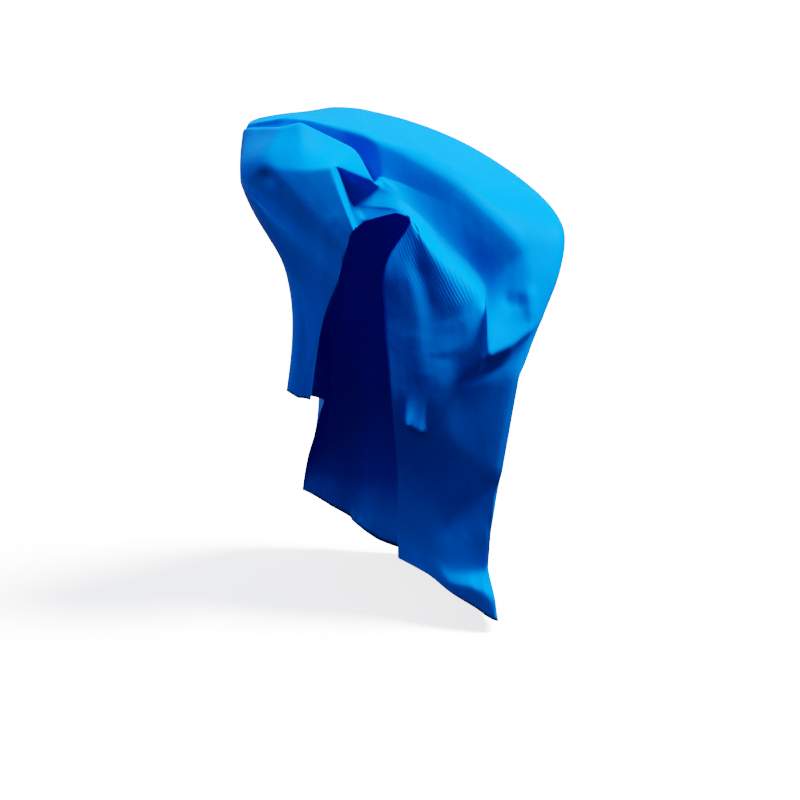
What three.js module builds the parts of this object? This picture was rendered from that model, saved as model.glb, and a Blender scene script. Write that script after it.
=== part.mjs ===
// A hollow cover of thin coated fabric, draped in one sheet, in millimetres with +Z up.
// The sheet runs from an arched mouth at the front, over a bulging brow and a roof, to a hanging rear.
import * as THREE from "three";

// Driving dimensions
const SHEET_THICKNESS = 2;
const FABRIC = { color: 0x0a8fe6, roughness: 0.42, metalness: 0.0 };

// Stations across the sheet, from the left hem over the roof to the right hem.
// across is each station's share of the girth.
const STATIONS = [
  { name: "leftHem", across: 0, steps: 4 },
  { name: "leftWaist", across: 0.13, steps: 3 },
  { name: "tip", across: 0.22, steps: 3 },
  { name: "corner", across: 0.27, steps: 2 },
  { name: "facet", across: 0.3, steps: 2 },
  { name: "peak", across: 0.33, steps: 3 },
  { name: "quad", across: 0.37, steps: 2 },
  { name: "quadLip", across: 0.385, steps: 3 },
  { name: "pocket", across: 0.42, steps: 2 },
  { name: "middle", across: 0.45, steps: 4 },
  { name: "rightCrown", across: 0.52, steps: 5 },
  { name: "rightShoulder", across: 0.61, steps: 5 },
  { name: "patchLip", across: 0.69, steps: 2 },
  { name: "underLip", across: 0.705, steps: 4 },
  { name: "rightWaist", across: 0.77, steps: 7 },
  { name: "rightLow", across: 0.905, steps: 3 },
  { name: "flareTop", across: 0.95, steps: 3 },
  { name: "flareLip", across: 0.98, steps: 2 },
  { name: "rightHem", across: 1, steps: 0 },
];

// Sections along the sheet, from the mouth's edge to the rear hem: a row for each, with the place
// [x, y, z] of every station. x is to the right, y to the rear and z the height above the floor.
// along is each section's share of the sheet's length. taut says for each station, in their order, how
// straight the cloth is drawn there: 0 is a smooth curve and 1 a flat facet.
const SECTIONS = [
  {
    name: "mouth edge", along: 0, steps: 4,
    taut: [0, 0.3, 0.4, 0.4, 0.4, 1, 1, 1, 0.8, 0.3, 0, 0, 0, 0, 0, 0, 0, 0, 0],
    leftHem: [20, 222, 538], leftWaist: [64, 178, 720], tip: [104, 152, 804], corner: [118, 142, 846],
    facet: [128, 134, 872], peak: [138, 128, 902], quad: [150, 124, 918], quadLip: [92, 344, 910],
    pocket: [112, 352, 926], middle: [164, 356, 940], rightCrown: [216, 348, 930],
    rightShoulder: [156, 350, 826], patchLip: [152, 360, 718], underLip: [152, 360, 694],
    rightWaist: [160, 376, 548], rightLow: [154, 464, 306], flareTop: [148, 484, 214],
    flareLip: [146, 490, 166], rightHem: [146, 492, 146],
  },
  {
    name: "front panel", along: 0.045, steps: 2,
    taut: [0, 0.3, 0.3, 0.2, 0.2, 1, 1, 1, 0.9, 0.35, 0, 0, 0, 0, 0, 0, 0, 0, 0],
    leftHem: [2, 224, 542], leftWaist: [28, 180, 766], tip: [-32, 160, 926], corner: [-54, 172, 978],
    facet: [-6, 142, 1002], peak: [56, 136, 1004], quad: [112, 132, 1016], quadLip: [98, 210, 1014],
    pocket: [82, 352, 954], middle: [168, 358, 950], rightCrown: [250, 344, 878],
    rightShoulder: [312, 354, 768], patchLip: [330, 364, 666], underLip: [322, 366, 642],
    rightWaist: [250, 376, 542], rightLow: [204, 456, 296], flareTop: [202, 476, 190],
    flareLip: [202, 478, 142], rightHem: [202, 478, 124],
  },
  {
    name: "front face", along: 0.06, steps: 4,
    taut: [0, 0.3, 0.4, 0.3, 0.3, 1, 1, 1, 1, 0.4, 0.1, 0.1, 0.3, 0.3, 0.1, 0, 0, 0, 0],
    leftHem: [-6, 224, 542], leftWaist: [16, 182, 780], tip: [-78, 162, 968],
    corner: [-112, 182, 1022], facet: [-50, 144, 1044], peak: [28, 138, 1040], quad: [98, 136, 1048],
    quadLip: [100, 164, 1048], pocket: [72, 352, 964], middle: [170, 358, 954],
    rightCrown: [262, 362, 868], rightShoulder: [348, 366, 758], patchLip: [372, 368, 652],
    underLip: [362, 368, 634], rightWaist: [272, 376, 540], rightLow: [220, 452, 292],
    flareTop: [218, 472, 184], flareLip: [220, 474, 134], rightHem: [220, 474, 116],
  },
  {
    name: "brow", along: 0.11, steps: 3,
    taut: [0, 0, 0.6, 1, 1, 1, 1, 1, 0.8, 0.5, 0.2, 0.3, 1, 1, 0.3, 0, 0.3, 0.6, 0],
    leftHem: [-40, 240, 556], leftWaist: [-34, 216, 824], tip: [-146, 244, 1012],
    corner: [-154, 290, 1130], facet: [-36, 196, 1132], peak: [10, 190, 1144], quad: [112, 276, 1084],
    quadLip: [152, 264, 1014], pocket: [134, 370, 1000], middle: [172, 378, 980],
    rightCrown: [274, 394, 888], rightShoulder: [370, 412, 778], patchLip: [402, 304, 636],
    underLip: [384, 372, 616], rightWaist: [332, 380, 552], rightLow: [274, 440, 274],
    flareTop: [276, 450, 138], flareLip: [286, 430, 104], rightHem: [286, 442, 80],
  },
  {
    name: "valley", along: 0.15, steps: 3,
    taut: [0, 0, 0, 0.8, 0.8, 0.8, 1, 1, 1, 1, 0.8, 0.7, 1, 1, 0.3, 0, 0.6, 1, 0],
    leftHem: [-60, 330, 540], leftWaist: [-70, 330, 820], tip: [-154, 310, 1006],
    corner: [-170, 352, 1124], facet: [-86, 360, 1126], peak: [-42, 394, 1122], quad: [58, 430, 1046],
    quadLip: [102, 430, 1004], pocket: [136, 396, 1018], middle: [180, 400, 1006],
    rightCrown: [288, 404, 960], rightShoulder: [422, 420, 824], patchLip: [442, 336, 656],
    underLip: [432, 376, 636], rightWaist: [380, 376, 568], rightLow: [322, 430, 252],
    flareTop: [328, 440, 136], flareLip: [342, 408, 102], rightHem: [344, 424, 54],
  },
  {
    name: "roof edge", along: 0.19, steps: 4,
    taut: [0, 0, 0, 0.5, 0.7, 0.8, 0.9, 0.9, 0.9, 0.9, 0.8, 0.7, 0.8, 0.8, 0.6, 0.5, 0.6, 1, 0],
    leftHem: [-70, 440, 526], leftWaist: [-90, 430, 816], tip: [-160, 400, 1020],
    corner: [-168, 358, 1136], facet: [-84, 362, 1154], peak: [-28, 398, 1148], quad: [44, 414, 1128],
    quadLip: [84, 410, 1118], pocket: [122, 404, 1102], middle: [182, 408, 1078],
    rightCrown: [300, 412, 1012], rightShoulder: [456, 426, 858], patchLip: [480, 370, 690],
    underLip: [472, 384, 672], rightWaist: [426, 372, 584], rightLow: [356, 424, 232],
    flareTop: [356, 436, 140], flareLip: [370, 404, 94], rightHem: [372, 416, 38],
  },
  {
    name: "crest", along: 0.26, steps: 6,
    taut: [0, 0, 0, 0, 0, 0, 0, 0, 0, 0, 0, 0, 0.7, 1, 1, 1, 1, 1, 0],
    leftHem: [-86, 600, 500], leftWaist: [-110, 590, 810], tip: [-170, 544, 1020],
    corner: [-200, 480, 1138], facet: [-164, 570, 1158], peak: [-102, 604, 1168],
    quad: [-36, 630, 1174], quadLip: [-6, 640, 1170], pocket: [40, 650, 1160],
    middle: [120, 650, 1140], rightCrown: [310, 620, 1060], rightShoulder: [520, 480, 900],
    patchLip: [496, 410, 710], underLip: [490, 400, 690], rightWaist: [454, 376, 586],
    rightLow: [382, 424, 226], flareTop: [372, 436, 142], flareLip: [396, 406, 78],
    rightHem: [398, 416, 28],
  },
  {
    name: "back", along: 0.42, steps: 6,
    taut: [0, 0, 0, 0, 0, 0, 0, 0, 0, 0, 0, 0, 0, 0, 0, 0, 0, 0, 0],
    leftHem: [-130, 820, 464], leftWaist: [-150, 820, 740], tip: [-170, 800, 910],
    corner: [-168, 802, 970], facet: [-158, 806, 1024], peak: [-130, 818, 1062],
    quad: [-60, 840, 1104], quadLip: [-28, 848, 1112], pocket: [26, 862, 1104],
    middle: [84, 860, 1084], rightCrown: [240, 800, 1024], rightShoulder: [392, 742, 878],
    patchLip: [390, 734, 730], underLip: [384, 734, 708], rightWaist: [340, 740, 560],
    rightLow: [280, 730, 240], flareTop: [280, 734, 128], flareLip: [286, 738, 60],
    rightHem: [290, 740, 16],
  },
  {
    name: "rump", along: 0.6, steps: 5,
    taut: [0, 0, 0, 0, 0, 0, 0, 0, 0, 0, 0, 0, 0, 0, 0, 0, 0, 0, 0],
    leftHem: [-224, 1090, 390], leftWaist: [-224, 1090, 590], tip: [-214, 1080, 730],
    corner: [-200, 1080, 774], facet: [-180, 1084, 816], peak: [-150, 1088, 852],
    quad: [-84, 1096, 900], quadLip: [-58, 1098, 912], pocket: [-16, 1102, 914],
    middle: [30, 1100, 904], rightCrown: [150, 1080, 860], rightShoulder: [262, 1052, 728],
    patchLip: [274, 1042, 604], underLip: [272, 1042, 588], rightWaist: [250, 1040, 470],
    rightLow: [204, 1030, 220], flareTop: [204, 1034, 120], flareLip: [208, 1038, 58],
    rightHem: [210, 1040, 16],
  },
  {
    name: "rear wall", along: 0.75, steps: 7,
    taut: [0, 0, 0, 0, 0, 0, 0, 0, 0, 0, 0, 0, 0, 0, 0, 0, 0, 0, 0],
    leftHem: [-300, 1250, 280], leftWaist: [-258, 1262, 420], tip: [-248, 1254, 528],
    corner: [-236, 1248, 560], facet: [-212, 1246, 586], peak: [-178, 1244, 608],
    quad: [-110, 1244, 636], quadLip: [-82, 1246, 642], pocket: [-42, 1246, 644],
    middle: [0, 1244, 636], rightCrown: [100, 1236, 590], rightShoulder: [178, 1216, 494],
    patchLip: [194, 1208, 416], underLip: [192, 1208, 406], rightWaist: [184, 1204, 330],
    rightLow: [160, 1200, 160], flareTop: [160, 1204, 90], flareLip: [164, 1208, 44],
    rightHem: [164, 1210, 16],
  },
  {
    name: "rear hem", along: 1, steps: 0,
    taut: [0, 0, 0, 0, 0, 0, 0, 0, 0, 0, 0, 0, 0, 0, 0, 0, 0, 0, 0],
    leftHem: [-336, 1300, 164], leftWaist: [-310, 1310, 150], tip: [-276, 1320, 128],
    corner: [-258, 1322, 116], facet: [-234, 1324, 102], peak: [-208, 1326, 84],
    quad: [-160, 1324, 50], quadLip: [-140, 1324, 38], pocket: [-108, 1322, 26],
    middle: [-80, 1320, 18], rightCrown: [-20, 1320, 16], rightShoulder: [38, 1316, 14],
    patchLip: [66, 1312, 14], underLip: [68, 1312, 16], rightWaist: [84, 1310, 16],
    rightLow: [120, 1300, 16], flareTop: [130, 1292, 14], flareLip: [136, 1284, 16],
    rightHem: [140, 1280, 16],
  },
];

// Main folds, a row for each. path goes through [section, station] places counted in the two tables,
// rise is outward from the sheet, left and right are how far the fold reaches on each side of its path,
// power is 1 for a crease and 2 for a round fold, and fades are the shares of its length that die away.
const FOLDS = [
  { name: "main ridge", rise: 4, left: 24, right: 90, power: 1.6, fades: [0.25, 0.15],
    path: [[2.6, 9.1], [2.3, 9.5], [2.1, 10], [2.05, 10.5], [2.25, 11.1]] },
  { name: "lit strip", rise: -5, left: 20, right: 26, power: 1.2, fades: [0.4, 0.35],
    path: [[0.3, 10.5], [0.5, 10.85], [0.5, 11.4], [0.5, 11.95]] },
  { name: "first ridge", rise: 5, left: 90, right: 36, power: 1.3, fades: [0.35, 0.35],
    path: [[0.45, 11.85], [0.5, 12.35], [0.5, 13.1], [0.6, 13.55], [0.65, 14]] },
  { name: "knee lip", rise: 26, left: 28, right: 6, power: 1.3, fades: [0.3, 0.2],
    path: [[0.35, 14.3], [0.65, 14.3], [1, 14.35], [2.05, 14.35]] },
  { name: "second hollow", rise: -7, left: 34, right: 60, power: 1.4, fades: [0.4, 0.5],
    path: [[0.9, 12.65], [1.25, 13.3], [2.45, 13.75], [3.05, 14.15], [3.95, 14.35]] },
  { name: "second ridge", rise: 6, left: 60, right: 30, power: 1.4, fades: [0.35, 0.5],
    path: [[1.25, 11.55], [1.6, 11.8], [2.1, 12.35], [3, 13.1], [3.85, 13.85], [4.35, 14.2]] },
  { name: "low diagonal", rise: -22, left: 40, right: 50, power: 1.2, fades: [0.25, 0.4],
    path: [[5.65, 14.6], [4.7, 14.8], [3.4, 15.05], [2.2, 15.8]] },
  { name: "bulge dent", rise: -12, left: 14, right: 12, power: 1.4, fades: [0.3, 0.3],
    path: [[2, 3.65], [1.6, 3.65], [1.35, 3.65]] },
  { name: "left drape", rise: 12, left: 60, right: 60, power: 2, fades: [0.4, 0.5],
    path: [[6.8, 2], [7.2, 0]] },
  { name: "left rear drape", rise: -10, left: 60, right: 60, power: 2, fades: [0.4, 0.5],
    path: [[8.6, 2], [9.1, 0]] },
  { name: "right drape", rise: 16, left: 60, right: 60, power: 2, fades: [0.4, 0],
    path: [[6.9, 11.5], [7.3, 18]] },
  { name: "right hollow", rise: -16, left: 55, right: 55, power: 2, fades: [0.4, 0],
    path: [[7.7, 11.7], [8.2, 18]] },
  { name: "rear drape", rise: 16, left: 55, right: 45, power: 2, fades: [0.5, 0],
    path: [[8.7, 5.7], [10, 5.2]] },
  { name: "rear hollow", rise: -14, left: 45, right: 45, power: 2, fades: [0.5, 0],
    path: [[9, 9.4], [10, 9.6]] },
  { name: "rear corner drape", rise: 14, left: 45, right: 45, power: 2, fades: [0.5, 0],
    path: [[8.8, 11], [10, 13.1]] },
];
// Points taken along a fold's path, the shortest side of a fold that the grid can show, and a small share
// of the sheet for slopes.
const FOLD_SAMPLES = 40;
const SHARPEST_REACH = 20;
const NORMAL_STEP = 0.002;

const ALONG_KNOTS = SECTIONS.map((section) => section.along);
const ACROSS_KNOTS = STATIONS.map((station) => station.across);

// Slope at each knot, taken from the parabola through it and its two neighbours.
function slopes(values, knots) {
  const last = knots.length - 1;
  const chord = (i) => (values[i + 1] - values[i]) / (knots[i + 1] - knots[i]);
  const result = new Array(knots.length);
  for (let i = 1; i < last; i += 1) {
    const before = knots[i] - knots[i - 1];
    const after = knots[i + 1] - knots[i];
    result[i] = (after * chord(i - 1) + before * chord(i)) / (before + after);
  }
  result[0] = 1.5 * chord(0) - 0.5 * result[1];
  result[last] = 1.5 * chord(last - 1) - 0.5 * result[last - 1];
  return result;
}

// Smooth curve through values at uneven knots: a cubic on each interval with the slopes above.
function spline(values, knots, at) {
  const slope = slopes(values, knots);
  let i = 0;
  while (i < knots.length - 2 && at >= knots[i + 1]) {
    i += 1;
  }
  const length = knots[i + 1] - knots[i];
  const t = (at - knots[i]) / length;
  const s = 1 - t;
  return (1 + 2 * t) * s * s * values[i] + t * s * s * length * slope[i]
    + t * t * (3 - 2 * t) * values[i + 1] - t * t * s * length * slope[i + 1];
}

// Straight lines from each knot's value to the next.
function straight(values, knots, at) {
  let i = 0;
  while (i < knots.length - 2 && at >= knots[i + 1]) {
    i += 1;
  }
  const t = (at - knots[i]) / (knots[i + 1] - knots[i]);
  return (1 - t) * values[i] + t * values[i + 1];
}

// Value over the sheet: a curve along each station, and then a curve across them.
function overNet(curve, valueAt, along, across) {
  const crossing = STATIONS.map((station, j) => {
    return curve(SECTIONS.map((section) => valueAt(section, station, j)), ALONG_KNOTS, along);
  });
  return curve(crossing, ACROSS_KNOTS, across);
}

// Point of the sheet without its folds: smooth curves through the net, flattened to facets where taut.
function smoothPoint(along, across) {
  const taut = overNet(straight, (section, station, j) => section.taut[j], along, across);
  const xyz = [0, 1, 2].map((axis) => {
    const place = (section, station) => section[station.name][axis];
    const smooth = overNet(spline, place, along, across);
    return THREE.MathUtils.lerp(smooth, overNet(straight, place, along, across), taut);
  });
  return new THREE.Vector3(...xyz);
}

// Outward direction of the smooth sheet, from points a little to each side.
function smoothNormal(along, across) {
  const rearward = smoothPoint(along + NORMAL_STEP, across).sub(smoothPoint(along - NORMAL_STEP, across));
  const rightward = smoothPoint(along, across + NORMAL_STEP).sub(smoothPoint(along, across - NORMAL_STEP));
  return rightward.cross(rearward).normalize();
}

// Value at a place counted in table rows, such as 2.5 for halfway from row 2 to row 3.
function atRow(knots, row) {
  const i = Math.min(Math.floor(row), knots.length - 2);
  return THREE.MathUtils.lerp(knots[i], knots[i + 1], row - i);
}

// Points along a fold's path on the smooth sheet, with the share of its length at each.
function foldLine(fold) {
  const legs = fold.path.length - 1;
  const line = [];
  let length = 0;
  for (let k = 0; k < FOLD_SAMPLES; k += 1) {
    const leg = legs * k / (FOLD_SAMPLES - 1);
    const i = Math.min(Math.floor(leg), legs - 1);
    const section = THREE.MathUtils.lerp(fold.path[i][0], fold.path[i + 1][0], leg - i);
    const station = THREE.MathUtils.lerp(fold.path[i][1], fold.path[i + 1][1], leg - i);
    const point = smoothPoint(atRow(ALONG_KNOTS, section), atRow(ACROSS_KNOTS, station));
    length += k > 0 ? point.distanceTo(line[k - 1].point) : 0;
    line.push({ point, length });
  }
  line.forEach((sample, k) => {
    const next = line[Math.min(k + 1, FOLD_SAMPLES - 1)].point;
    const previous = line[Math.max(k - 1, 0)].point;
    sample.share = sample.length / length;
    sample.direction = next.clone().sub(previous);
  });
  return line;
}

// Fading factor near one end of a fold: 0 at the end, 1 past the fading share.
function fade(share, fadingShare) {
  return fadingShare > 0 ? THREE.MathUtils.smoothstep(share, 0, fadingShare) : 1;
}

// Outward rise that one fold gives a point: it falls off with the distance from the fold's line.
function foldRise(fold, point, normal) {
  let nearest = fold.line[0];
  fold.line.forEach((sample) => {
    if (sample.point.distanceToSquared(point) < nearest.point.distanceToSquared(point)) {
      nearest = sample;
    }
  });
  const offset = point.clone().sub(nearest.point);
  const isLeft = nearest.direction.clone().cross(offset).dot(normal) > 0;
  const reach = Math.max(isLeft ? fold.left : fold.right, SHARPEST_REACH);
  const falloff = Math.exp(-Math.pow(offset.length() / reach, fold.power));
  const ends = fade(nearest.share, fold.fades[0]) * fade(1 - nearest.share, fold.fades[1]);
  return fold.rise * falloff * ends;
}

// Grid values from knot to knot, with each row's own number of steps.
function gridValues(rows, knots) {
  const values = [];
  rows.forEach(({ steps }, i) => {
    for (let k = 0; k < steps; k += 1) {
      values.push(THREE.MathUtils.lerp(knots[i], knots[i + 1], k / steps));
    }
  });
  values.push(knots[knots.length - 1]);
  return values;
}

// Outer face of the cloth: the smooth sheet with every fold's rise added along its normal.
function outerGrid() {
  const folds = FOLDS.map((fold) => ({ ...fold, line: foldLine(fold) }));
  return gridValues(SECTIONS, ALONG_KNOTS).map((along) => {
    return gridValues(STATIONS, ACROSS_KNOTS).map((across) => {
      const point = smoothPoint(along, across);
      const normal = smoothNormal(along, across);
      const rise = folds.reduce((sum, fold) => sum + foldRise(fold, point, normal), 0);
      return point.addScaledVector(normal, rise);
    });
  });
}

// Inner face of the cloth: each outer point moved in by the thickness, square to its neighbours.
function innerGrid(outer) {
  const lastRow = outer.length - 1;
  const lastColumn = outer[0].length - 1;
  return outer.map((row, i) => row.map((point, j) => {
    const rearward = outer[Math.min(i + 1, lastRow)][j].clone().sub(outer[Math.max(i - 1, 0)][j]);
    const rightward = row[Math.min(j + 1, lastColumn)].clone().sub(row[Math.max(j - 1, 0)]);
    const inward = rearward.cross(rightward).normalize();
    return point.clone().addScaledVector(inward, SHEET_THICKNESS);
  }));
}

// Closed shell of the two faces and a narrow rim along the hem.
function shellGeometry(outer, inner) {
  const rows = outer.length;
  const columns = outer[0].length;
  const outerIndex = (i, j) => i * columns + j;
  const innerIndex = (i, j) => rows * columns + outerIndex(i, j);
  const triangles = [];
  const addQuad = (a, b, c, d) => triangles.push(a, b, c, a, c, d);
  for (let i = 0; i < rows - 1; i += 1) {
    for (let j = 0; j < columns - 1; j += 1) {
      addQuad(outerIndex(i, j), outerIndex(i, j + 1), outerIndex(i + 1, j + 1), outerIndex(i + 1, j));
      addQuad(innerIndex(i, j), innerIndex(i + 1, j), innerIndex(i + 1, j + 1), innerIndex(i, j + 1));
    }
  }
  const addRim = (from, to) => {
    addQuad(outerIndex(...to), outerIndex(...from), innerIndex(...from), innerIndex(...to));
  };
  for (let j = 0; j < columns - 1; j += 1) {
    addRim([0, j], [0, j + 1]);
    addRim([rows - 1, j + 1], [rows - 1, j]);
  }
  for (let i = 0; i < rows - 1; i += 1) {
    addRim([i + 1, 0], [i, 0]);
    addRim([i, columns - 1], [i + 1, columns - 1]);
  }
  const geometry = new THREE.BufferGeometry();
  geometry.setFromPoints([...outer.flat(), ...inner.flat()]);
  geometry.setIndex(triangles);
  geometry.computeVertexNormals();
  return geometry;
}

// Grid row or column that lies on a named section or station.
function gridIndex(rows, name) {
  const place = rows.findIndex((row) => row.name === name);
  return rows.slice(0, place).reduce((sum, row) => sum + row.steps, 0);
}

// The cover, with its origin on the underside of the roof at the middle of the crest, where it is held up.
function makeCover() {
  const outer = outerGrid();
  const inner = innerGrid(outer);
  const heldAt = inner[gridIndex(SECTIONS, "crest")][gridIndex(STATIONS, "middle")];
  const geometry = shellGeometry(outer, inner);
  geometry.translate(-heldAt.x, -heldAt.y, -heldAt.z);
  const mesh = new THREE.Mesh(geometry, new THREE.MeshStandardMaterial(FABRIC));
  mesh.name = "cover";
  return mesh;
}

const wholeCover = new THREE.Group();
wholeCover.add(makeCover());

export default wholeCover;
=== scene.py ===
# %% [markdown]
# # A draped cover of blue coated fabric
#
# The cover is one sheet of thin coated cloth. It is pulled over something that is left out here, so it
# stands as a hollow drape: an arched mouth at the front, a boxy bulge, a roof that slopes down to the
# right, and a skirt that nearly reaches the floor on that side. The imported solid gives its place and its
# size. This lesson makes the finer cloth that is looked at: the same sheet with sharper folds, a turned
# hem, small wrinkles and a satin surface.

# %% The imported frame
import math

import bpy
import numpy as np
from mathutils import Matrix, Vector


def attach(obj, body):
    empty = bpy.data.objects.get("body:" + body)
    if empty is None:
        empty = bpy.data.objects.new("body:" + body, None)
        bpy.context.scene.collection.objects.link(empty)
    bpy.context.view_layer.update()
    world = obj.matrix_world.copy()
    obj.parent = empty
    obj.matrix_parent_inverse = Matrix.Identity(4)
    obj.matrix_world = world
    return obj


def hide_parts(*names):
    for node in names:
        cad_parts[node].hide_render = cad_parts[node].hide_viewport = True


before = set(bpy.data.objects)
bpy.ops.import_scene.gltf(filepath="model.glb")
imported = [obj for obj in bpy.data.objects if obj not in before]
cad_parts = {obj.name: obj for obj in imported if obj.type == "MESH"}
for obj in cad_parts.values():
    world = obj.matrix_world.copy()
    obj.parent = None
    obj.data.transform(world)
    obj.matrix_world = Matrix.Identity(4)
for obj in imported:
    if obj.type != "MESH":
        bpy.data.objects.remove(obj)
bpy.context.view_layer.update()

# %% [markdown]
# ## The camera
#
# A camera at the photograph's viewing angle comes first, because every fold is judged through it. It
# stands five metres off, a little above the middle of the cover, and looks slightly down. A long lens
# keeps the sides of the cover nearly parallel, as they are in the photograph.

# %% The camera
MM = 1000  # in a metre
# Places are in mm from a point on the floor, with x to the right, y to the rear and z up.
HELD_AT = np.array([119.4, 650.2, 1138.1])  # the frame's origin, under the roof
CAMERA_AT = np.array([1558.0, -4760.0, 1150.0])
CAMERA_LEFT = 15  # degrees that it looks to the left of straight to the rear
CAMERA_DOWN = 6.69  # degrees that it looks down
LEVEL = 90  # degrees from looking straight down to looking level
LENS = 108.0  # mm
SENSOR = 36.0  # mm


def in_frame(places):
    """Places in mm from the point on the floor, as metres from the frame's origin."""
    return (places - HELD_AT) / MM


camera_data = bpy.data.cameras.new("camera")
camera_data.sensor_width = SENSOR
camera_data.lens = LENS
camera = bpy.data.objects.new("camera", camera_data)
camera.location = in_frame(CAMERA_AT)
camera.rotation_euler = (math.radians(LEVEL - CAMERA_DOWN), 0.0, math.radians(CAMERA_LEFT))
bpy.context.scene.collection.objects.link(camera)
bpy.context.scene.camera = camera
print("camera at", [round(v, 3) for v in camera.location])

# %% [markdown]
# ## The sheet before its folds
#
# Cloth is smooth between the places where it is held or creased. So the sheet is told by a net of places:
# eleven sections from the mouth's edge to the rear hem, each with nineteen stations from the left hem over
# the roof to the right hem. They lie close together at the front, where the cloth turns sharply, and far
# apart at the rear. The same net is behind the solid, so the two agree. Sculpting would give a shape too,
# but a net can be read and changed, and it can be drawn at any fineness.

# %% Stations and sections
# name of each station: its share of the girth
STATIONS = {
    "left hem": 0, "left waist": 0.13, "tip": 0.22, "corner": 0.27, "facet": 0.3, "peak": 0.33,
    "quad": 0.37, "quad lip": 0.385, "pocket": 0.42, "middle": 0.45, "right crown": 0.52,
    "right shoulder": 0.61, "patch lip": 0.69, "under lip": 0.705, "right waist": 0.77,
    "right low": 0.905, "flare top": 0.95, "flare lip": 0.98, "right hem": 1,
}
STATION_SHARES = np.array(list(STATIONS.values()))
# Each section's share of the sheet's length.
SECTION_SHARES = np.array([0, 0.045, 0.06, 0.11, 0.15, 0.19, 0.26, 0.42, 0.6, 0.75, 1])
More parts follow.
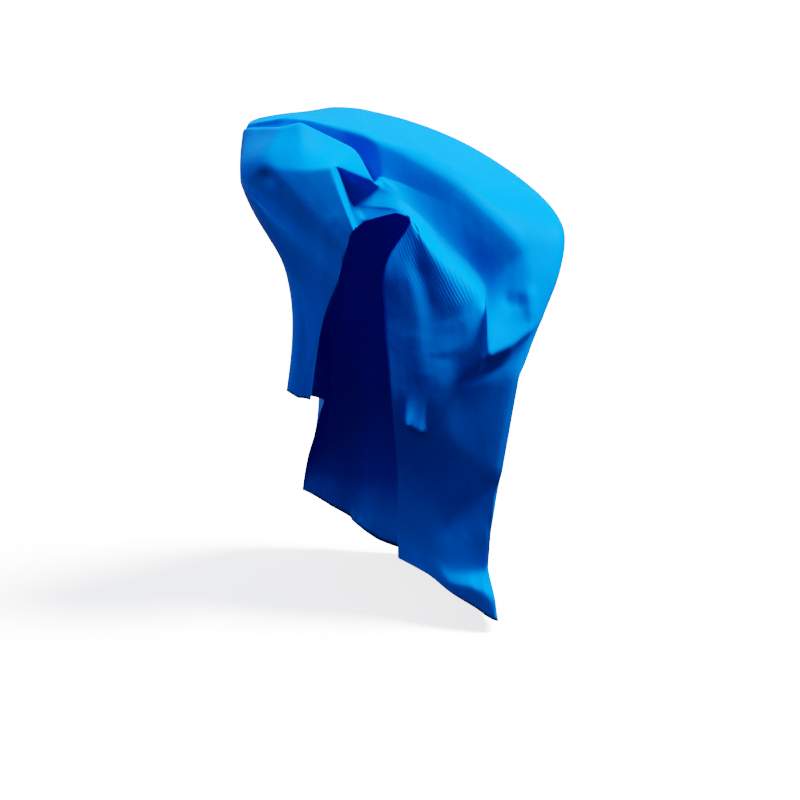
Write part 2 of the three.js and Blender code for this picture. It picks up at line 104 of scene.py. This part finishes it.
# One row per section, with a place for each station in their order. Each place is x to the right, y to the
# rear and z above the floor, in mm.
SECTIONS = {
    "mouth edge": [
        [20, 222, 538], [64, 178, 720], [104, 152, 804], [118, 142, 846], [128, 134, 872],
        [138, 128, 902], [150, 124, 918], [92, 344, 910], [112, 352, 926], [164, 356, 940],
        [216, 348, 930], [156, 350, 826], [152, 360, 718], [152, 360, 694], [160, 376, 548],
        [154, 464, 306], [148, 484, 214], [146, 490, 166], [146, 492, 146]],
    "front panel": [
        [2, 224, 542], [28, 180, 766], [-32, 160, 926], [-54, 172, 978], [-6, 142, 1002],
        [56, 136, 1004], [112, 132, 1016], [98, 210, 1014], [82, 352, 954], [168, 358, 950],
        [250, 344, 878], [312, 354, 768], [330, 364, 666], [322, 366, 642], [250, 376, 542],
        [204, 456, 296], [202, 476, 190], [202, 478, 142], [202, 478, 124]],
    "front face": [
        [-6, 224, 542], [16, 182, 780], [-78, 162, 968], [-112, 182, 1022], [-50, 144, 1044],
        [28, 138, 1040], [98, 136, 1048], [100, 164, 1048], [72, 352, 964], [170, 358, 954],
        [262, 362, 868], [348, 366, 758], [372, 368, 652], [362, 368, 634], [272, 376, 540],
        [220, 452, 292], [218, 472, 184], [220, 474, 134], [220, 474, 116]],
    "brow": [
        [-40, 240, 556], [-34, 216, 824], [-146, 244, 1012], [-154, 290, 1130], [-36, 196, 1132],
        [10, 190, 1144], [112, 276, 1084], [152, 264, 1014], [134, 370, 1000], [172, 378, 980],
        [274, 394, 888], [370, 412, 778], [402, 304, 636], [384, 372, 616], [332, 380, 552],
        [274, 440, 274], [276, 450, 138], [286, 430, 104], [286, 442, 80]],
    "valley": [
        [-60, 330, 540], [-70, 330, 820], [-154, 310, 1006], [-170, 352, 1124], [-86, 360, 1126],
        [-42, 394, 1122], [58, 430, 1046], [102, 430, 1004], [136, 396, 1018], [180, 400, 1006],
        [288, 404, 960], [422, 420, 824], [442, 336, 656], [432, 376, 636], [380, 376, 568],
        [322, 430, 252], [328, 440, 136], [342, 408, 102], [344, 424, 54]],
    "roof edge": [
        [-70, 440, 526], [-90, 430, 816], [-160, 400, 1020], [-168, 358, 1136], [-84, 362, 1154],
        [-28, 398, 1148], [44, 414, 1128], [84, 410, 1118], [122, 404, 1102], [182, 408, 1078],
        [300, 412, 1012], [456, 426, 858], [480, 370, 690], [472, 384, 672], [426, 372, 584],
        [356, 424, 232], [356, 436, 140], [370, 404, 94], [372, 416, 38]],
    "crest": [
        [-86, 600, 500], [-110, 590, 810], [-170, 544, 1020], [-200, 480, 1138], [-164, 570, 1158],
        [-102, 604, 1168], [-36, 630, 1174], [-6, 640, 1170], [40, 650, 1160], [120, 650, 1140],
        [310, 620, 1060], [520, 480, 900], [496, 410, 710], [490, 400, 690], [454, 376, 586],
        [382, 424, 226], [372, 436, 142], [396, 406, 78], [398, 416, 28]],
    "back": [
        [-130, 820, 464], [-150, 820, 740], [-170, 800, 910], [-168, 802, 970], [-158, 806, 1024],
        [-130, 818, 1062], [-60, 840, 1104], [-28, 848, 1112], [26, 862, 1104], [84, 860, 1084],
        [240, 800, 1024], [392, 742, 878], [390, 734, 730], [384, 734, 708], [340, 740, 560],
        [280, 730, 240], [280, 734, 128], [286, 738, 60], [290, 740, 16]],
    "rump": [
        [-224, 1090, 390], [-224, 1090, 590], [-214, 1080, 730], [-200, 1080, 774], [-180, 1084, 816],
        [-150, 1088, 852], [-84, 1096, 900], [-58, 1098, 912], [-16, 1102, 914], [30, 1100, 904],
        [150, 1080, 860], [262, 1052, 728], [274, 1042, 604], [272, 1042, 588], [250, 1040, 470],
        [204, 1030, 220], [204, 1034, 120], [208, 1038, 58], [210, 1040, 16]],
    "rear wall": [
        [-300, 1250, 280], [-258, 1262, 420], [-248, 1254, 528], [-236, 1248, 560], [-212, 1246, 586],
        [-178, 1244, 608], [-110, 1244, 636], [-82, 1246, 642], [-42, 1246, 644], [0, 1244, 636],
        [100, 1236, 590], [178, 1216, 494], [194, 1208, 416], [192, 1208, 406], [184, 1204, 330],
        [160, 1200, 160], [160, 1204, 90], [164, 1208, 44], [164, 1210, 16]],
    "rear hem": [
        [-336, 1300, 164], [-310, 1310, 150], [-276, 1320, 128], [-258, 1322, 116], [-234, 1324, 102],
        [-208, 1326, 84], [-160, 1324, 50], [-140, 1324, 38], [-108, 1322, 26], [-80, 1320, 18],
        [-20, 1320, 16], [38, 1316, 14], [66, 1312, 14], [68, 1312, 16], [84, 1310, 16],
        [120, 1300, 16], [130, 1292, 14], [136, 1284, 16], [140, 1280, 16]],
}
NET = np.array(list(SECTIONS.values()), float)
# How straight the cloth is drawn between neighbouring places: 0 is a smooth curve and 1 a flat facet.
TAUT = {
    "mouth edge": [0, 0.3, 0.4, 0.4, 0.4, 1, 1, 1, 0.8, 0.3, 0, 0, 0, 0, 0, 0, 0, 0, 0],
    "front panel": [0, 0.3, 0.3, 0.2, 0.2, 1, 1, 1, 0.9, 0.35, 0, 0, 0, 0, 0, 0, 0, 0, 0],
    "front face": [0, 0.3, 0.4, 0.3, 0.3, 1, 1, 1, 1, 0.4, 0.1, 0.1, 0.3, 0.3, 0.1, 0, 0, 0, 0],
    "brow": [0, 0, 0.6, 1, 1, 1, 1, 1, 0.8, 0.5, 0.2, 0.3, 1, 1, 0.3, 0, 0.3, 0.6, 0],
    "valley": [0, 0, 0, 0.8, 0.8, 0.8, 1, 1, 1, 1, 0.8, 0.7, 1, 1, 0.3, 0, 0.6, 1, 0],
    "roof edge": [0, 0, 0, 0.5, 0.7, 0.8, 0.9, 0.9, 0.9, 0.9, 0.8, 0.7, 0.8, 0.8, 0.6, 0.5, 0.6, 1, 0],
    "crest": [0, 0, 0, 0, 0, 0, 0, 0, 0, 0, 0, 0, 0.7, 1, 1, 1, 1, 1, 0],
}
TAUTNESS = np.array([TAUT.get(name, [0] * NET.shape[1]) for name in SECTIONS], float)
print("net of", NET.shape[0], "sections and", NET.shape[1], "stations")


# %% Curves through the net
def curve_through(values, knots, at):
    """Smooth curve through values at uneven knots. Each knot's slope is that of the parabola through it and
    its two neighbours, and a cubic with those slopes joins each knot to the next. The slopes at the two
    ends are those with which the curve does not bend there."""
    gaps = np.diff(knots).reshape((-1,) + (1,) * (values.ndim - 1))
    chords = np.diff(values, axis=0) / gaps
    slopes = np.empty_like(values)
    slopes[1:-1] = (gaps[1:] * chords[:-1] + gaps[:-1] * chords[1:]) / (gaps[:-1] + gaps[1:])
    slopes[0] = 1.5 * chords[0] - 0.5 * slopes[1]
    slopes[-1] = 1.5 * chords[-1] - 0.5 * slopes[-2]
    i = np.clip(np.searchsorted(knots, at, side="right") - 1, 0, len(knots) - 2)
    gap = gaps[i]
    t = ((at - knots[i]) / np.diff(knots)[i]).reshape(gap.shape)
    s = 1 - t
    return ((1 + 2 * t) * s * s * values[i] + t * s * s * gap * slopes[i]
            + t * t * (3 - 2 * t) * values[i + 1] - t * t * s * gap * slopes[i + 1])


def straight_between(values, knots, at):
    """Straight lines from each knot's value to the next."""
    i = np.clip(np.searchsorted(knots, at, side="right") - 1, 0, len(knots) - 2)
    t = ((at - knots[i]) / (knots[i + 1] - knots[i])).reshape((-1,) + (1,) * (values.ndim - 1))
    return (1 - t) * values[i] + t * values[i + 1]


def over_net(curve, values, along, across):
    """Values over the sheet: a curve along each station, and then a curve across them."""
    rows = curve(values, SECTION_SHARES, along)
    return curve(rows.swapaxes(0, 1), STATION_SHARES, across).swapaxes(0, 1)


def smooth_sheet(along, across):
    """Points of the sheet without folds: smooth curves through the net, flattened to facets where taut."""
    taut = over_net(straight_between, TAUTNESS[..., None], along, across)
    smooth = over_net(curve_through, NET, along, across)
    return smooth + taut * (over_net(straight_between, NET, along, across) - smooth)


def outward(points, along, across):
    """Unit normals of a grid of points: the slope to the right crossed with the slope to the rear."""
    rearward = np.gradient(points, along, axis=0)
    rightward = np.gradient(points, across, axis=1)
    normal = np.cross(rightward, rearward)
    return normal / np.linalg.norm(normal, axis=2, keepdims=True)


# %% [markdown]
# ## Folds
#
# A fold is a line on the cloth where it stands out or sinks in. Its table row says where the line goes,
# how high it is, and how far it reaches on either side: a steep side of a few centimetres reads as a
# crisp edge, and a long side as a soft slope. The light only grazes the front wall, so a fold of a
# centimetre already shows there as a bright or dark band. The first table holds the folds of the solid.
# The second adds folds that only this sheet has.

# %% Folds of the solid and of this sheet
# path goes through [section, station] places counted in the net. rise, left and right are in mm. power
# is 1 for a crease, 2 for a round fold and 3 for a flat one. fades are the shares of the length that die
# away at its start and its end.
FOLD_COLUMNS = ("rise", "left", "right", "power", "fades", "path")
SOLID_FOLDS = {
    "main ridge": (4, 24, 90, 1.6, (0.25, 0.15),
                   [[2.6, 9.1], [2.3, 9.5], [2.1, 10], [2.05, 10.5], [2.25, 11.1]]),
    "lit strip": (-5, 20, 26, 1.2, (0.4, 0.35), [[0.3, 10.5], [0.5, 10.85], [0.5, 11.4], [0.5, 11.95]]),
    "first ridge": (5, 90, 36, 1.3, (0.35, 0.35),
                    [[0.45, 11.85], [0.5, 12.35], [0.5, 13.1], [0.6, 13.55], [0.65, 14]]),
    "knee lip": (26, 28, 6, 1.3, (0.3, 0.2), [[0.35, 14.3], [0.65, 14.3], [1, 14.35], [2.05, 14.35]]),
    "second hollow": (-7, 34, 60, 1.4, (0.4, 0.5),
                      [[0.9, 12.65], [1.25, 13.3], [2.45, 13.75], [3.05, 14.15], [3.95, 14.35]]),
    "second ridge": (6, 60, 30, 1.4, (0.35, 0.5),
                     [[1.25, 11.55], [1.6, 11.8], [2.1, 12.35], [3, 13.1], [3.85, 13.85], [4.35, 14.2]]),
    "low diagonal": (-22, 40, 50, 1.2, (0.25, 0.4), [[5.65, 14.6], [4.7, 14.8], [3.4, 15.05], [2.2, 15.8]]),
    "bulge dent": (-12, 14, 12, 1.4, (0.3, 0.3), [[2, 3.65], [1.6, 3.65], [1.35, 3.65]]),
    "left drape": (12, 60, 60, 2, (0.4, 0.5), [[6.8, 2], [7.2, 0]]),
    "left rear drape": (-10, 60, 60, 2, (0.4, 0.5), [[8.6, 2], [9.1, 0]]),
    "right drape": (16, 60, 60, 2, (0.4, 0), [[6.9, 11.5], [7.3, 18]]),
    "right hollow": (-16, 55, 55, 2, (0.4, 0), [[7.7, 11.7], [8.2, 18]]),
    "rear drape": (16, 55, 45, 2, (0.5, 0), [[8.7, 5.7], [10, 5.2]]),
    "rear hollow": (-14, 45, 45, 2, (0.5, 0), [[9, 9.4], [10, 9.6]]),
    "rear corner drape": (14, 45, 45, 2, (0.5, 0), [[8.8, 11], [10, 13.1]]),
}
SHEET_FOLDS = {
    "lit step": (14, 22, 100, 3, (0.35, 0.55),
                 [[0.05, 10.3], [0.23, 10.85], [0.32, 11.15], [0.35, 11.45], [0.36, 11.8], [0.36, 13.6]]),
    "wall fold": (10, 36, 50, 2, (0.35, 0.35),
                  [[0.63, 12.3], [0.67, 12.9], [0.8, 13.35], [0.97, 13.6], [1.8, 13.9], [2.3, 14.1],
                   [3, 14.55], [3.4, 14.8]]),
    "knee corner": (14, 26, 6, 1.3, (0.35, 0.4), [[0.22, 14.24], [0.4, 14.26], [0.7, 14.3]]),
    "roof lip": (18, 80, 80, 1.6, (0.28, 0.22),
                 [[5, 7.6], [5, 8.5], [5, 9.3], [5, 10], [5, 10.7], [5, 11.3], [5, 11.95]]),
    "pale sliver": (9, 14, 12, 1, (0.3, 0.3), [[4.85, 11.4], [5, 11.65], [4.9, 11.9]]),
    "small pocket": (-7, 12, 12, 2, (0.3, 0.3), [[3.5, 11.3], [4, 11.45], [4.8, 11.6]]),
    "flap crease": (3, 10, 6, 1, (0.2, 0.4), [[0.45, 5.75], [0.4, 4.4], [0.25, 3], [0.25, 1.4]]),
    "thin ridge": (6, 7, 7, 1, (0.2, 0.2), [[4.55, 6.5], [4.25, 7.5], [3.5, 8.2], [3.2, 9]]),
    "top groove": (-8, 14, 10, 1.3, (0.2, 0.3), [[5.1, 3.3], [5.1, 4.5], [5.05, 5.8]]),
    "roof ridge": (5, 22, 22, 1.5, (0.3, 0.3), [[5.45, 8.85], [5.25, 9.2], [5.05, 9.5]]),
    "roof crease": (-6, 14, 14, 1.4, (0.3, 0.3), [[6, 10.25], [6.05, 10.4], [6.05, 10.55]]),
}
FOLDS = {name: dict(zip(FOLD_COLUMNS, row)) for name, row in {**SOLID_FOLDS, **SHEET_FOLDS}.items()}
print(len(SOLID_FOLDS), "folds of the solid and", len(SHEET_FOLDS), "of this sheet")

# %% How a fold lifts the cloth
LINE_SAMPLES = 60  # along each fold's path
BEND_RADIUS = 2.0  # mm, the tightest bend that such cloth takes
FOLD_ROOM = 3.2  # a fold is worked out as far from its line as this many of its reaches
NO_FADE = 1e-6  # stands for a fading share of 0


def eased(share, fading):
    """Fading near one end of a fold: a smooth step from 0 at the end to 1 past the fading share."""
    t = np.clip(share / max(fading, NO_FADE), 0, 1)
    return t * t * (3 - 2 * t)


def fold_line(path):
    """Samples of a fold's path on the smooth sheet, and the share of its length at each."""
    legs = np.linspace(0, len(path) - 1, LINE_SAMPLES)
    places = np.array(path, float)
    rows = np.interp(legs, np.arange(len(path)), places[:, 0])
    columns = np.interp(legs, np.arange(len(path)), places[:, 1])
    along = np.interp(rows, np.arange(len(SECTION_SHARES)), SECTION_SHARES)
    across = np.interp(columns, np.arange(len(STATION_SHARES)), STATION_SHARES)
    line = np.array([smooth_sheet(np.array([u]), np.array([v]))[0, 0] for u, v in zip(along, across)])
    lengths = np.concatenate([[0], np.cumsum(np.linalg.norm(np.diff(line, axis=0), axis=1))])
    return line, lengths / lengths[-1]


def fold_rise(fold, points, normals):
    """Outward rise from one fold: rise times exp(-(d / reach)^power), where d is the distance to the fold's
    line, reach is its left or right reach, and the two ends fade out."""
    line, shares = fold_line(fold["path"])
    tangents = np.gradient(line, axis=0)
    tangents /= np.linalg.norm(tangents, axis=1, keepdims=True)
    rise = np.zeros(points.shape[:2])
    room = FOLD_ROOM * max(fold["left"], fold["right"])
    near = np.all((points > line.min(0) - room) & (points < line.max(0) + room), axis=2)
    p, n = points[near], normals[near]
    k = np.argmin(((p[:, None] - line[None]) ** 2).sum(2), axis=1)
    offset = p - line[k]
    step = np.linalg.norm(line[1] - line[0])
    slide = np.clip((offset * tangents[k]).sum(1), -step, step)
    offset = offset - slide[:, None] * tangents[k]
    distance = np.sqrt((offset ** 2).sum(1) + BEND_RADIUS ** 2) - BEND_RADIUS
    is_left = (np.cross(tangents[k], offset) * n).sum(1) > 0
    reach = np.where(is_left, fold["left"], fold["right"])
    ends = eased(shares[k], fold["fades"][0]) * eased(1 - shares[k], fold["fades"][1])
    rise[near] = fold["rise"] * np.exp(-(distance / reach) ** fold["power"]) * ends
    return rise


# %% [markdown]
# ## The cloth as a mesh
#
# The grid is closer at the front, where the folds are, and wider at the rear. The hem of such a cover is
# its own cloth turned under once and sewn down. So the grid's outer rows are mirrored past each edge and
# laid a little inside the cloth, as a turned hem lies. A single sheet of faces is enough for cloth under
# half a millimetre thick, because both of its sides are shaded.

# %% The grid and its turned hem
ROWS, COLUMNS = 290, 310
EVEN_SHARE = 0.45  # share of the rows' spacing that is even, while the rest grows towards the rear
GROWTH = 2.2  # power with which that rest grows
SOFTENING = 2  # rounds of smoothing that give the facets' edges a cloth's bend
PULL = 0.2  # share that each of two neighbours has in a softened point
HEM = ((4, 2), (3, 3), (0, 0))  # rows turned under at the mouth and the rear, columns at left and right
HEM_GAP = 1.6  # mm between the cloth and its turned edge


def softened(grid):
    """Grid in which each inner point is drawn a little towards its neighbours, along and then across."""
    grid = grid.copy()
    grid[1:-1] = PULL * grid[:-2] + (1 - 2 * PULL) * grid[1:-1] + PULL * grid[2:]
    grid[:, 1:-1] = PULL * grid[:, :-2] + (1 - 2 * PULL) * grid[:, 1:-1] + PULL * grid[:, 2:]
    return grid


even = np.linspace(0, 1, ROWS)
along = EVEN_SHARE * even + (1 - EVEN_SHARE) * even ** GROWTH
across = np.linspace(0, 1, COLUMNS)
points = smooth_sheet(along, across)
normals = outward(points, along, across)
rise = sum(fold_rise(fold, points, normals) for fold in FOLDS.values())
cloth = points + normals * rise[..., None]
for _ in range(SOFTENING):
    cloth = softened(cloth)
hem_depth = np.pad(np.zeros(rise.shape), HEM[:2], constant_values=HEM_GAP)
hemmed = np.pad(cloth, HEM, mode="reflect")
hemmed -= hem_depth[..., None] * np.pad(outward(cloth, along, across), HEM, mode="reflect")
print("rise from", round(rise.min(), 1), "to", round(rise.max(), 1), "mm")

# %% Where the cloth is gathered
# Along the main ridge the cloth is drawn together into small parallel wrinkles. How much it is gathered
# is kept as a value from 0 to 1 on the mesh, which the fabric's bumps read later.
gathered_fold = dict(FOLDS["main ridge"], rise=1.0, left=24, right=70, power=2.0)
gathered = np.pad(fold_rise(gathered_fold, points, normals), HEM[:2], mode="reflect")
print("gathered by up to", round(gathered.max(), 2))


# %% The cloth object
def grid_object(name, grid, uv):
    """Mesh object from a grid of points: each cell of the grid becomes one four-sided face."""
    rows, columns = grid.shape[:2]
    index = np.arange(rows * columns).reshape(rows, columns)
    corners = [index[:-1, :-1], index[:-1, 1:], index[1:, 1:], index[1:, :-1]]
    faces = np.stack(corners, axis=2).reshape(-1, 4)
    mesh = bpy.data.meshes.new(name)
    mesh.from_pydata(grid.reshape(-1, 3), [], faces)
    layer = mesh.uv_layers.new(name="cloth_metres")
    layer.data.foreach_set("uv", uv.reshape(-1, 2)[faces].astype(np.float32).ravel())
    mesh.shade_smooth()
    made = bpy.data.objects.new(name, mesh)
    bpy.context.scene.collection.objects.link(made)
    return made


def arc_lengths(grid):
    """Metres along each grid line, so that a weave drawn on them keeps its thread spacing."""
    metres = grid / MM
    down = np.linalg.norm(np.diff(metres, axis=0), axis=2).mean(1)
    over = np.linalg.norm(np.diff(metres, axis=1), axis=2).mean(0)
    v = np.concatenate([[0], np.cumsum(down)])
    u = np.concatenate([[0], np.cumsum(over)])
    return np.stack(np.meshgrid(u, v), axis=2)


cover = grid_object("draped_cover", in_frame(hemmed), arc_lengths(hemmed))
gather = cover.data.attributes.new("gather", "FLOAT", "POINT")
gather.data.foreach_set("value", gathered.astype(np.float32).ravel())
print("cover has", len(cover.data.polygons), "faces")

# %% [markdown]
# ## Coated polyester
#
# The fabric is woven polyester with a thin waterproof coating. It has a deep, clean blue and a soft satin
# shine, and it lets a little light through, so the inside glows dark blue. The shine is kept low and
# tinted, because a coated cloth shows broad pale highlights, not mirror spots.

# %% Node helper and colour
def linear(hex_colour):
    """sRGB hex value as linear red, green, blue and full alpha."""
    srgb = np.array([int(hex_colour[i:i + 2], 16) for i in (1, 3, 5)]) / 255
    rgb = np.where(srgb <= 0.04045, srgb / 12.92, ((srgb + 0.055) / 1.055) ** 2.4)
    return (*rgb.tolist(), 1.0)


def add_node(tree, kind, settings=None, **sockets):
    """Add one node. settings are its own properties. Each socket takes a value or another node's output. A
    socket goes by its name with _ for spaces, or by i and its number."""
    node = tree.nodes.new(kind)
    for key, value in (settings or {}).items():
        setattr(node, key, value)
    for key, value in sockets.items():
        numbered = key[0] == "i" and key[1:].isdigit()
        socket = node.inputs[int(key[1:]) if numbered else key.replace("_", " ")]
        if isinstance(value, bpy.types.NodeSocket):
            tree.links.new(value, socket)
        else:
            socket.default_value = value
    return node


def cleared_tree(owner):
    """Node tree of a material or of the world, emptied."""
    owner.use_nodes = True
    owner.node_tree.nodes.clear()
    return owner.node_tree


# %% Base colour and shine
# Dyed cloth is never one even blue, and its coating is smoother in some places than in others.
fabric = bpy.data.materials.new("coated_woven_polyester")
fabric_tree = cleared_tree(fabric)
place = add_node(fabric_tree, "ShaderNodeTexCoord").outputs["Object"]
patches = add_node(fabric_tree, "ShaderNodeTexNoise", None, Vector=place, Scale=7.0, Detail=3.0)
dye = add_node(fabric_tree, "ShaderNodeMix", {"data_type": "RGBA"}, i0=patches.outputs[0],
               i6=linear("#003C92"), i7=linear("#0046A0"))
shine = add_node(fabric_tree, "ShaderNodeTexNoise", None, Vector=place, Scale=22.0, Detail=2.0)
rough = add_node(fabric_tree, "ShaderNodeMapRange", None, Value=shine.outputs[0], To_Min=0.38, To_Max=0.54)
print("dye and shine made")

# %% Bumps of the fabric
# Four sizes of bump: soft buckles a few centimetres wide, stiff little crinkles, the wrinkles gathered
# along the ridge, and the weave. Real threads lie under half a millimetre apart. Here they are 3 mm apart,
# because finer ones would only flicker at this distance.
BUCKLE_STRETCH = (1, 1, 0.35)  # under 1 draws the buckles out, here up and down as cloth hangs
GATHER_SPACING = 0.007  # metres
GATHER_LEAN = 25  # degrees
THREAD_SPACING = 0.003  # metres
WAVE_LENGTH = math.pi / 10  # a wave texture of scale 1 repeats after this length
hang = add_node(fabric_tree, "ShaderNodeMapping", None, Vector=place, Scale=BUCKLE_STRETCH)
buckles = add_node(fabric_tree, "ShaderNodeTexNoise", None, Vector=hang.outputs[0], Scale=16.0,
                   Detail=2.0)
crinkles = add_node(fabric_tree, "ShaderNodeTexNoise", None, Vector=place, Scale=70.0, Detail=4.0,
                    Roughness=0.6)
lean = add_node(fabric_tree, "ShaderNodeMapping", None, Vector=place,
                Rotation=(0, math.radians(GATHER_LEAN), 0))
ripples = add_node(fabric_tree, "ShaderNodeTexWave", None, Vector=lean.outputs[0],
                   Scale=WAVE_LENGTH / GATHER_SPACING, Distortion=4.0, Detail=2.0, Detail_Scale=0.6)
amount = add_node(fabric_tree, "ShaderNodeAttribute", {"attribute_name": "gather"})
gathers = add_node(fabric_tree, "ShaderNodeMath", {"operation": "MULTIPLY"}, i0=ripples.outputs["Fac"],
                   i1=amount.outputs["Fac"])
metres = add_node(fabric_tree, "ShaderNodeUVMap", {"uv_map": "cloth_metres"}).outputs[0]
threads = [add_node(fabric_tree, "ShaderNodeTexWave", {"bands_direction": axis}, Vector=metres,
                    Scale=WAVE_LENGTH / THREAD_SPACING) for axis in "XY"]
weave = add_node(fabric_tree, "ShaderNodeMath", {"operation": "MULTIPLY"}, i0=threads[0].outputs["Fac"],
                 i1=threads[1].outputs["Fac"])
# Each bump is laid on the one before it: its pattern, its height in metres and how much of it shows.
BUMPS = [(buckles, 0.007, 0.5), (crinkles, 0.0008, 0.5), (gathers, 0.0012, 0.4), (weave, 0.0001, 0.5)]
bump = None
for pattern, height, share in BUMPS:
    below = {"Normal": bump.outputs[0]} if bump else {}
    bump = add_node(fabric_tree, "ShaderNodeBump", None, Height=pattern.outputs[0], Distance=height,
                    Strength=share, **below)
print("bumps made")

# %% The coated fabric
# The shine has about a hundredth of the usual level and is sky blue, so the lit cloth stays blue. The light
# that comes through is a deeper blue and shows on the inside.
SHINE_LEVEL = 0.006
THROUGH_SHARE = 0.012
surface = add_node(fabric_tree, "ShaderNodeBsdfPrincipled", None, Base_Color=dye.outputs[2],
                   Roughness=rough.outputs[0], Normal=bump.outputs[0])
surface.inputs["Specular IOR Level"].default_value = SHINE_LEVEL
surface.inputs["Specular Tint"].default_value = linear("#00B4FF")
through = add_node(fabric_tree, "ShaderNodeBsdfTranslucent", None, Color=linear("#0010D8"))
blend = add_node(fabric_tree, "ShaderNodeMixShader", None, i0=THROUGH_SHARE, i1=surface.outputs[0],
                 i2=through.outputs[0])
add_node(fabric_tree, "ShaderNodeOutputMaterial", None, Surface=blend.outputs[0])
cover.data.materials.append(fabric)

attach(cover, "root")
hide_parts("cover")
print("fabric has", len(fabric_tree.nodes), "nodes")

# %% [markdown]
# ## Floor and light
#
# The photograph has an even white ground, and the cover in it has a bright top and dark walls. One strong
# key light from above and to the right gives both, because it only grazes the front. Two dim lamps lift
# the rear and the left side. The floor and the surround look white to the camera. To the cloth the floor is
# dark and the surround is dim and blue, so the folds keep their dark blue.

# %% Floor
FLOOR_Z = -HELD_AT[2] / MM
FLOOR_REACH = 40  # metres to each side
GLOW_SHARE = 0.6  # how much of the white that the camera sees is the paper's own light
floor_mesh = bpy.data.meshes.new("floor")
floor_signs = [(-1, -1), (1, -1), (1, 1), (-1, 1)]
floor_corners = [(x * FLOOR_REACH, y * FLOOR_REACH, FLOOR_Z) for x, y in floor_signs]
floor_mesh.from_pydata(floor_corners, [], [(0, 1, 2, 3)])
floor = bpy.data.objects.new("floor", floor_mesh)
bpy.context.scene.collection.objects.link(floor)
paper = bpy.data.materials.new("matt_paper")
paper_tree = cleared_tree(paper)
glance = add_node(paper_tree, "ShaderNodeLightPath")
pale = add_node(paper_tree, "ShaderNodeBsdfDiffuse", None, Color=linear("#F8F8F8"))
glow = add_node(paper_tree, "ShaderNodeEmission", None, Color=linear("#FFFFFF"), Strength=4.0)
lifted = add_node(paper_tree, "ShaderNodeMixShader", None, i0=GLOW_SHARE, i1=pale.outputs[0],
                  i2=glow.outputs[0])
dull = add_node(paper_tree, "ShaderNodeBsdfDiffuse", None, Color=linear("#191919"))
shown = add_node(paper_tree, "ShaderNodeMixShader", None, i0=glance.outputs["Is Camera Ray"],
                 i1=dull.outputs[0], i2=lifted.outputs[0])
add_node(paper_tree, "ShaderNodeOutputMaterial", None, Surface=shown.outputs[0])
floor_mesh.materials.append(paper)
print("floor at", round(FLOOR_Z, 3), "m")

# %% Lamps
# name: direction towards the light, strength, and width in degrees. Only the key light shows in the shine.
LIGHTS = {
    "key": ((0.6, -0.06, 0.79), 52.0, 30),
    "rear fill": ((-0.35, 0.88, 0.32), 6.0, 70),
    "left fill": ((-0.6, -0.3, 0.74), 5.0, 40),
}
for name, (towards, strength, width) in LIGHTS.items():
    lamp_data = bpy.data.lights.new(name, "SUN")
    lamp_data.energy = strength
    lamp_data.angle = math.radians(width)
    lamp = bpy.data.objects.new(name, lamp_data)
    lamp.visible_glossy = name == "key"
    lamp.rotation_euler = Vector(towards).to_track_quat("Z", "Y").to_euler()
    bpy.context.scene.collection.objects.link(lamp)
print("lamps:", ", ".join(LIGHTS))

# %% Surround
world = bpy.data.worlds.new("studio")
bpy.context.scene.world = world
studio = cleared_tree(world)
path = add_node(studio, "ShaderNodeLightPath")
dim = add_node(studio, "ShaderNodeBackground", None, Color=linear("#65AAFF"), Strength=0.95)
white = add_node(studio, "ShaderNodeBackground", None, Color=linear("#FFFFFF"), Strength=9.0)
seen = add_node(studio, "ShaderNodeMixShader", None, i0=path.outputs["Is Camera Ray"], i1=dim.outputs[0],
                i2=white.outputs[0])
add_node(studio, "ShaderNodeOutputWorld", None, Surface=seen.outputs[0])
print("surround has", len(studio.nodes), "nodes")

# %% [markdown]
# ## Tone
#
# The lit top is many times brighter than the dark walls. A camera shows both by pressing the bright tones
# together, and a tone curve does the same here: dark tones stay as they are, and bright ones rise less and
# less towards white.

# %% Tone curve
FULL_LIGHT = 8.0  # scene light that is shown as white
ALL_COLOURS = 3  # number of the curve for red, green and blue together
# scene light and the tone that shows it, from 0 for black to 1 for white
TONES = [(0.085, 0.085), (0.17, 0.16), (0.585, 0.413), (1.27, 0.61), (2.5, 0.78), (4.0, 0.887)]
view = bpy.context.scene.view_settings
view.view_transform = "Standard"
view.use_curve_mapping = True
tone = view.curve_mapping
tone.white_level = (FULL_LIGHT,) * 3
for light, shown_tone in TONES:
    tone.curves[ALL_COLOURS].points.new(light / FULL_LIGHT, shown_tone)
tone.update()
print("tone curve of", len(TONES), "points")
